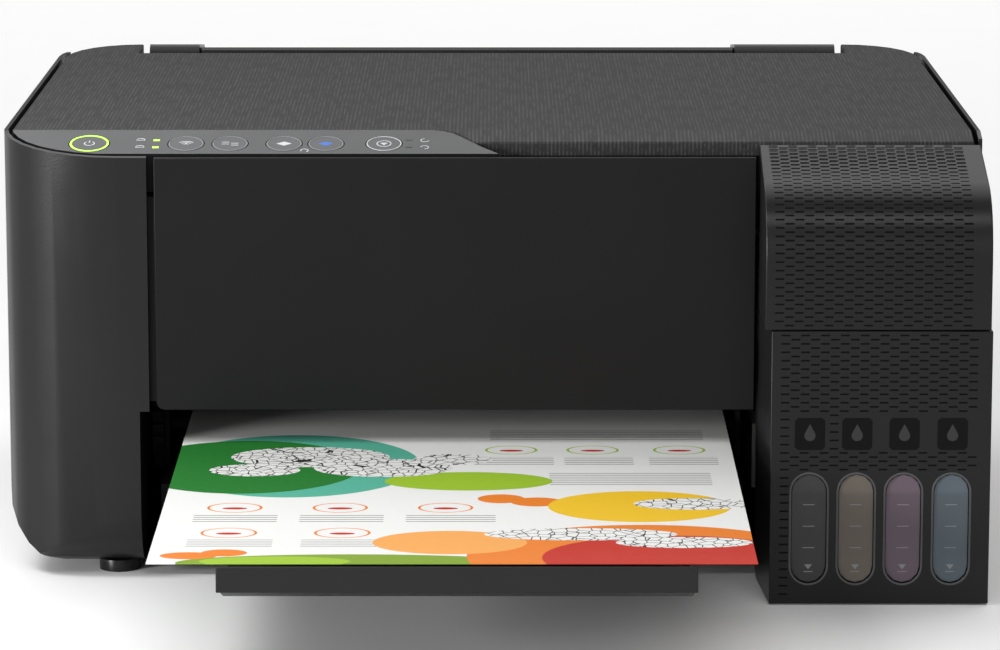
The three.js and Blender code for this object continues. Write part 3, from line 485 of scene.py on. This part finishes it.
def near_window(x, z):
    """True where a dash would touch a window, a badge or their rims."""
    reach = DASH_LENGTH / 2 + 0.6 * MM
    by_window = z < WINDOW_HIGH + 2 * MM and any(abs(x - t) < WINDOW_WIDTH / 2 + reach for t in TANK_XS)
    by_badge = BADGE["low"] - MM < z < BADGE["high"] + MM and any(
        abs(x - t) < BADGE["half"] + reach for t in TANK_XS
    )
    return by_window or by_badge


def tank_dashes():
    cover = bmesh.new()
    dash_rows(
        cover, tank_cover_path(), COVER_LOW.x + BORDER, COVER_HIGH.x - BORDER, lambda x, z: False
    )
    finish_mesh(
        "tank_cover_dashes", cover, DASH_PAINTED_SHADE, "tank_cover", smooth=False
    )
    low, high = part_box("tank_case")
    case = bmesh.new()
    path = [(TANK_FRONT, high.z - 1.5 * MM), (TANK_FRONT, low.z + 4 * MM)]
    dash_rows(case, path, low.x + BORDER + 2.4 * MM, high.x - BORDER, near_window)
    finish_mesh("tank_case_dashes", case, DASH_PAINTED_SHADE, "root", smooth=False)


def on_front(x, y, lift=0.0):
    """A function that puts an outline's (u, v) on the upright front at this depth."""
    return lambda u, v: Vector((x + u, y - lift, v))


MARK_HALF = 2.2 * MM
LOW_MARK_HALF = 1.7 * MM
MARK_THIN = 0.16 * MM
ARROW_HALF = 1.5 * MM
ARROW_HEIGHT = 1.9 * MM


def level_marks(x):
    """Three level lines, and an arrow on a shorter line that marks the lowest level."""
    marks = bmesh.new()
    levels = [WINDOW_LOW + (WINDOW_HIGH - WINDOW_LOW) * share for share in (0.32, 0.52, 0.72)]
    bars = [(MARK_HALF, level) for level in levels] + [(LOW_MARK_HALF, WINDOW_LOW + 4 * MM)]
    outlines = [
        [(-reach, level - MARK_THIN), (reach, level - MARK_THIN),
         (reach, level + MARK_THIN), (-reach, level + MARK_THIN)]
        for reach, level in bars
    ]
    arrow_low = WINDOW_LOW + 4.9 * MM
    arrow_high = arrow_low + ARROW_HEIGHT
    outlines.append([(0, arrow_low), (ARROW_HALF, arrow_high), (-ARROW_HALF, arrow_high)])
    for outline in outlines:
        place = on_front(x, LENS_FRONT, 0.02 * MM)
        append(marks, extruded(outline, place, Vector((0, 0.1 * MM, 0))))
    return marks


def ink_windows():
    """A thin rim round each window, and the marks on its lens."""
    for ink, x in zip(INKS, TANK_XS):
        outer = obround(WINDOW_WIDTH + 2.2 * MM, WINDOW_LOW - 1.1 * MM, WINDOW_HIGH + 1.1 * MM)
        inner = obround(WINDOW_WIDTH + 0.7 * MM, WINDOW_LOW - 0.35 * MM, WINDOW_HIGH + 0.35 * MM)
        rim = frame_band(outer, inner, on_front(x, TANK_FRONT, 0.25 * MM), Vector((0, 0.5 * MM, 0)))
        finish_mesh("window_rim_" + ink, rim, RIM_LIGHT, "root", bevel=0.1 * MM)
        finish_mesh("window_marks_" + ink, level_marks(x), MARK_DIM, "root", smooth=False)


def badges():
    """A dark square over each window with a plain drop shape on it."""
    half, low, high, corner = BADGE["half"], BADGE["low"], BADGE["high"], BADGE["corner"]
    square = [
        (-half + corner, low), (half - corner, low), (half, low + corner), (half, high - corner),
        (half - corner, high), (-half + corner, high), (-half, high - corner), (-half, low + corner),
    ]
    middle_z = (low + high) / 2 - 0.6 * MM
    drop = [
        (DROP_RADIUS * math.cos(a), middle_z + DROP_RADIUS * math.sin(a))
        for a in (math.radians(150 + 240 * i / 16) for i in range(17))
    ] + [(0, middle_z + 2.1 * DROP_RADIUS)]
    for ink, x in zip(INKS, TANK_XS):
        plate = extruded(square, on_front(x, TANK_FRONT, 0.06 * MM), Vector((0, 0.2 * MM, 0)))
        finish_mesh("badge_" + ink, plate, BADGE_BLACK, "root", bevel=0.04 * MM)
        shape = extruded(drop, on_front(x, TANK_FRONT, 0.1 * MM), Vector((0, 0.08 * MM, 0)))
        finish_mesh("badge_drop_" + ink, shape, BADGE_MARK, "root", smooth=False)


# ---------------------------------------------------------------- control panel
BUTTON_SINK = 0.1 * MM
MARK_RISE = 0.05 * MM
CAP_DEPTH = 4 * MM
ICON_LINE = 0.42 * MM
UPHILL = Vector((0, math.cos(SLOPE), math.sin(SLOPE)))
OUTWARD = Vector((0, -math.sin(SLOPE), math.cos(SLOPE)))


def on_slope(x, y, lift):
    """A function that puts an outline's (u, v) on the sloping panel, v up the slope."""
    start = Vector((x, y, slope_top(y)))
    return lambda u, v: start + Vector((u, 0, 0)) + UPHILL * v + OUTWARD * lift


def slope_ring(name, x, y, radius, width, made, body, lift, height):
    band = frame_band(
        circle_outline(radius), circle_outline(radius - width),
        on_slope(x, y, lift), OUTWARD * height,
    )
    finish_mesh(name, band, made, body)


def slope_shapes(name, x, y, outlines, made, body, lift):
    work = bmesh.new()
    for outline in outlines:
        append(work, extruded(outline, on_slope(x, y, lift), OUTWARD * MARK_RISE))
    finish_mesh(name, work, made, body, smooth=False)


def stroke(points, width):
    """A closed outline along an open line of points."""
    places = [Vector(p) for p in points]
    left, right = [], []
    for i, place in enumerate(places):
        ahead = places[min(i + 1, len(places) - 1)] - places[max(i - 1, 0)]
        side = Vector((-ahead.y, ahead.x)).normalized() * width / 2
        left.append(tuple(place + side))
        right.append(tuple(place - side))
    return left + right[::-1]


def arc_stroke(radius, start, end, width, centre=(0, 0)):
    angles = [math.radians(start + (end - start) * i / 14) for i in range(15)]
    return stroke(
        [(centre[0] + radius * math.cos(a), centre[1] + radius * math.sin(a)) for a in angles], width
    )


def icons():
    """Each button's mark: a list of outlines, and their material."""
    line = ICON_LINE
    power = [arc_stroke(1.9 * MM, 125, 415, line), stroke([(0, 0.6 * MM), (0, 2.6 * MM)], line)]
    wireless = [
        arc_stroke(r * MM, 45, 135, line, (0, -1.6 * MM)) for r in (1.3, 2.5, 3.7)
    ] + [circle_outline(0.45 * MM, 12)]
    network = [
        stroke([(a * MM, b * MM), (c * MM, b * MM)], line)
        for a, c, b in ((-3.2, -0.4, 1.4), (-3.2, -0.4, -0.4), (0.4, 3.2, 0.4), (0.4, 3.2, -1.4))
    ]
    sheets = [[(-2.9 * MM, 0), (0, 1.9 * MM), (2.9 * MM, 0), (0, -1.9 * MM)]]
    pointer = [(-1.5 * MM, 0.8 * MM), (1.5 * MM, 0.8 * MM), (0, -1.5 * MM)]
    stop = [arc_stroke(2.7 * MM, 0, 350, line), pointer]
    return {
        "power": (power, MARK_PALE), "wifi": (wireless, MARK_PALE), "network": (network, MARK_PALE),
        "copy_mono": (sheets, MARK_PALE), "copy_colour": (sheets, MARK_BLUE), "stop": (stop, MARK_PALE),
    }


def dress_buttons():
    """A ring and a mark on each button's cap."""
    for name, (outlines, made) in icons().items():
        node = name + "_button"
        low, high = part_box(node)
        x, radius = (low.x + high.x) / 2, (high.x - low.x) / 2
        cap = [vert.co.y for vert in nodes[node].data.vertices if vert.co.z > high.z - CAP_DEPTH]
        y = (min(cap) + max(cap)) / 2
        lit = name == "power"
        ring = LIT_GREEN if lit else (MARK_PALE if name == "stop" else MARK_DIM)
        width = 0.75 * MM if lit else 0.38 * MM
        reach = radius - 0.15 * MM
        slope_ring(node + "_ring", x, y, reach, width, ring, node, -BUTTON_SINK, 0.12 * MM)
        slope_shapes(node + "_mark", x, y, outlines, made, node, -BUTTON_SINK)


LAMP_ROWS = (-45.1 * MM, -51.5 * MM)
LAMP_X, LAMP_MARK_X = -128 * MM, -134 * MM
DARK_LAMP_X, DARK_LAMP_MARK_X = -31.6 * MM, -25.6 * MM
COPY_MARK_PLACE = (-71.2 * MM, -54.4 * MM)
FINE_LINE = 0.35 * MM


def flat_bar(half, width):
    return stroke([(-half, 0), (half, 0)], width)


def panel_shapes(name, x, y, outlines, made):
    """Flat shapes on the panel's own surface."""
    slope_shapes(name, x, y, outlines, made, "scanner_unit", 0)


def panel_lights():
    """Two lit indicators with their marks by the left gap, and two unlit ones on the right."""
    for i, y in enumerate(LAMP_ROWS):
        panel_shapes(f"lamp_{i}", LAMP_X, y, [flat_bar(1.2 * MM, 1.5 * MM)], LIT_GREEN)
        mark = [arc_stroke(1.7 * MM, 20, 160, FINE_LINE), flat_bar(1.7 * MM, FINE_LINE)]
        panel_shapes(f"lamp_mark_{i}", LAMP_MARK_X, y, mark, MARK_PALE)
        dark = [flat_bar(1.3 * MM, 0.8 * MM)]
        panel_shapes(f"dark_lamp_{i}", DARK_LAMP_X, y, dark, MATERIALS["front_black"])
        sign = [arc_stroke(1.5 * MM, 90 + 180 * i, 350 + 180 * i, FINE_LINE)]
        panel_shapes(f"dark_lamp_mark_{i}", DARK_LAMP_MARK_X, y, sign, MARK_PALE)
    between = [arc_stroke(1.4 * MM, -60, 200, 0.4 * MM)]
    panel_shapes("copy_mark", *COPY_MARK_PLACE, between, MARK_PALE)


# ---------------------------------------------------------------- printed sheet
# Each shape on the sheet is an ellipse, in millimetres from the sheet's front left corner:
# colour, centre across, centre along, half width and half length. Later shapes lie on top.
GREEN, TEAL, LIME = (0.02, 0.20, 0.03), (0.10, 0.46, 0.33), (0.34, 0.55, 0.03)
OLIVE, ORANGE, AMBER = (0.22, 0.36, 0.02), (0.82, 0.22, 0.02), (0.90, 0.40, 0.10)
YELLOW, RED, WHITE = (0.88, 0.55, 0.02), (0.55, 0.025, 0.01), (0.86, 0.86, 0.84)
PRINT_SHAPES = [
    (TEAL, 44, 150, 48, 52),
    (GREEN, 26, 148, 44, 44),
    (LIME, 110, 124, 31, 15),
    (ORANGE, 122, 96, 8.5, 7),
    (ORANGE, 135, 91, 9.5, 7),
    (YELLOW, 172, 84, 33, 24),
    (OLIVE, 70, 1, 60, 12),
    (LIME, 44, 3, 26, 7),
    (ORANGE, 172, 10, 62, 46),
    (RED, 182, 8, 46, 32),
    (AMBER, 104, 30, 27, 17),
    (ORANGE, 14, 11, 10, 5),
    (ORANGE, 26, 15, 8, 5),
]
# Line drawings: ellipses of white cells with dark edges.
PRINT_DRAWINGS = [
    (50, 164, 30, 17), (78, 146, 26, 15), (104, 160, 15, 9), (30, 142, 17, 10),
    (150, 42, 34, 9), (186, 30, 24, 8), (192, 88, 22, 9),
]
PRINT_RINGS = [
    (ORANGE, 26, 82), (ORANGE, 64, 82), (ORANGE, 102, 82), (ORANGE, 26, 44), (ORANGE, 66, 44),
    (LIME, 126, 176), (LIME, 157, 176), (LIME, 190, 176),
]
RING_SIZE = (10, 7.5)
RING_INSIDE = 0.82
DOT_SIZE = (4.5, 1.6)
RULES_PER_MM = 0.33
RULE_SHARE = 0.28
CELL_SCALE = 240
CELL_EDGE = 0.045
RULE_GREY, CELL_LINE = (0.22, 0.23, 0.22), (0.03, 0.03, 0.03)
# Blocks of plain ruled lines: left, right, front and back.
PRINT_LINES = [
    (12, 42, 60, 72), (50, 80, 60, 72), (88, 120, 60, 72), (12, 42, 22, 34), (52, 82, 22, 34),
    (112, 142, 150, 164), (146, 172, 150, 164), (178, 204, 150, 164), (140, 200, 118, 138),
    (118, 200, 192, 212),
]


def printed_material():
    """White photo paper with a made-up print of ellipses, drawn cells, rings and ruled lines."""
    made = Material("paper", WHITE, 0.42)
    low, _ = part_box("printed_sheet")
    x, y, _ = made.axes()
    across = made.math("MULTIPLY", made.math("SUBTRACT", x, low.x), 1 / MM)
    along = made.math("MULTIPLY", made.math("SUBTRACT", y, low.y), 1 / MM)

    def reach(cx, cy, rx, ry):
        u = made.math("DIVIDE", made.math("SUBTRACT", across, cx), rx)
        v = made.math("DIVIDE", made.math("SUBTRACT", along, cy), ry)
        return made.math("ADD", made.math("MULTIPLY", u, u), made.math("MULTIPLY", v, v))

    def between(value, low_end, high_end):
        above = made.math("GREATER_THAN", value, low_end)
        return made.math("MULTIPLY", above, made.math("LESS_THAN", value, high_end))

    result = WHITE
    for left, right, front, back in PRINT_LINES:
        inside = made.math("MULTIPLY", between(across, left, right), between(along, front, back))
        phase = made.math("FRACT", made.math("MULTIPLY", along, RULES_PER_MM))
        ruled = made.math("LESS_THAN", phase, RULE_SHARE)
        result = made.mix(made.math("MULTIPLY", inside, ruled), result, RULE_GREY)
    for colour, cx, cy, rx, ry in PRINT_SHAPES:
        result = made.mix(made.math("LESS_THAN", reach(cx, cy, rx, ry), 1), result, colour)
    cells = made.nodes.new("ShaderNodeTexVoronoi")
    cells.feature = "DISTANCE_TO_EDGE"
    cells.inputs["Scale"].default_value = CELL_SCALE
    made.links.new(made.rest, cells.inputs["Vector"])
    on_line = made.math("LESS_THAN", cells.outputs["Distance"], CELL_EDGE)
    drawn = made.mix(on_line, WHITE, CELL_LINE)
    for cx, cy, rx, ry in PRINT_DRAWINGS:
        result = made.mix(made.math("LESS_THAN", reach(cx, cy, rx, ry), 1), result, drawn)
    for colour, cx, cy in PRINT_RINGS:
        distance = reach(cx, cy, *RING_SIZE)
        result = made.mix(between(distance, RING_INSIDE, 1), result, colour)
        dot = made.math("LESS_THAN", reach(cx, cy - 1, *DOT_SIZE), 1)
        result = made.mix(dot, result, RED)
    made.colour(result)
    made.roughness(made.noise(300, 2), 0.36, 0.5)
    made.bump(made.noise(500, 3), 0.00001)
    return made


# ---------------------------------------------------------------- stage, light and camera
FLOOR_HALF = 6.0
WORLD_STRENGTH = 0.24


def stage():
    """A plain white floor in a dim room, so that the light comes from the soft boxes."""
    floor_mesh = bmesh.new()
    half = FLOOR_HALF
    corners = [(-half, -half), (half, -half), (half, half), (-half, half)]
    floor_mesh.faces.new([floor_mesh.verts.new((x, y, 0)) for x, y in corners])
    mesh = bpy.data.meshes.new("floor")
    floor_mesh.to_mesh(mesh)
    floor_mesh.free()
    floor = bpy.data.objects.new("floor", mesh)
    bpy.context.scene.collection.objects.link(floor)
    made = moulded("floor", (0.9, 0.9, 0.9), 0.8, grain=60, variation=0.01, specular=0.0)
    mesh.materials.append(made.material)
    world = bpy.data.worlds.new("studio")
    bpy.context.scene.world = world
    world.use_nodes = True
    world.node_tree.nodes["Background"].inputs["Color"].default_value = (1, 1, 1, 1)
    world.node_tree.nodes["Background"].inputs["Strength"].default_value = WORLD_STRENGTH
    bpy.context.scene.view_settings.view_transform = "Standard"


def area_light(name, place, target, size, radiance):
    """A soft box; its power follows from its size, so that radiance is how bright it looks."""
    data = bpy.data.lights.new(name, "AREA")
    data.shape = "RECTANGLE"
    data.size, data.size_y = size
    data.energy = radiance * math.pi * size[0] * size[1]
    light = bpy.data.objects.new(name, data)
    bpy.context.scene.collection.objects.link(light)
    light.location = place
    light.rotation_euler = (Vector(target) - Vector(place)).to_track_quat("-Z", "Y").to_euler()


# Each soft box: its name, its place, what it faces, its width and height, and its radiance.
SOFT_BOXES = (
    ("ceiling", (0, 2.8, 3.0), (0, 2.8, 0), (7.0, 5.0), 1.5),
    ("over", (-0.33, -0.17, 0.42), (-0.12, 0.0, 0.17), (0.16, 0.16), 14.0),
    ("front", (0.15, -1.45, 1.75), (0.05, 0, 0.12), (1.3, 0.5), 4.6),
    ("low_front", (0.3, -3.0, 0.75), (0, -0.4, 0), (2.4, 0.8), 1.2),
    ("left", (-2.4, -1.9, 0.50), (-0.16, 0, 0.1), (1.0, 0.8), 32.0),
)


CAMERA_PLACE = (0.00104, -1.74707, 0.41747)
CAMERA_PITCH = math.radians(10.654)
LENS_MM = 162.0
SENSOR_MM = 36
CAMERA_SHIFT_X = 0.00545


def camera():
    data = bpy.data.cameras.new("camera")
    data.sensor_width = SENSOR_MM
    data.lens = LENS_MM
    data.shift_x = CAMERA_SHIFT_X
    data.clip_start, data.clip_end = 0.05, 30
    made = bpy.data.objects.new("camera", data)
    bpy.context.scene.collection.objects.link(made)
    made.location = CAMERA_PLACE
    made.rotation_euler = (math.pi / 2 - CAMERA_PITCH, 0, 0)
    bpy.context.scene.camera = made


# ---------------------------------------------------------------- the whole scene
MATERIALS["paper"] = printed_material()
camera()
stage()
for soft_box in SOFT_BOXES:
    area_light(*soft_box)
paint_cad_nodes()
rounded_shells()
tank_dashes()
ink_windows()
badges()
dress_buttons()
panel_lights()
PAD_EDGE = 1.2 * MM
pad = solid_copy(
    "document_pad", "document_pad_foam", MATERIALS["foam_white"], "document_cover", PAD_EDGE
)
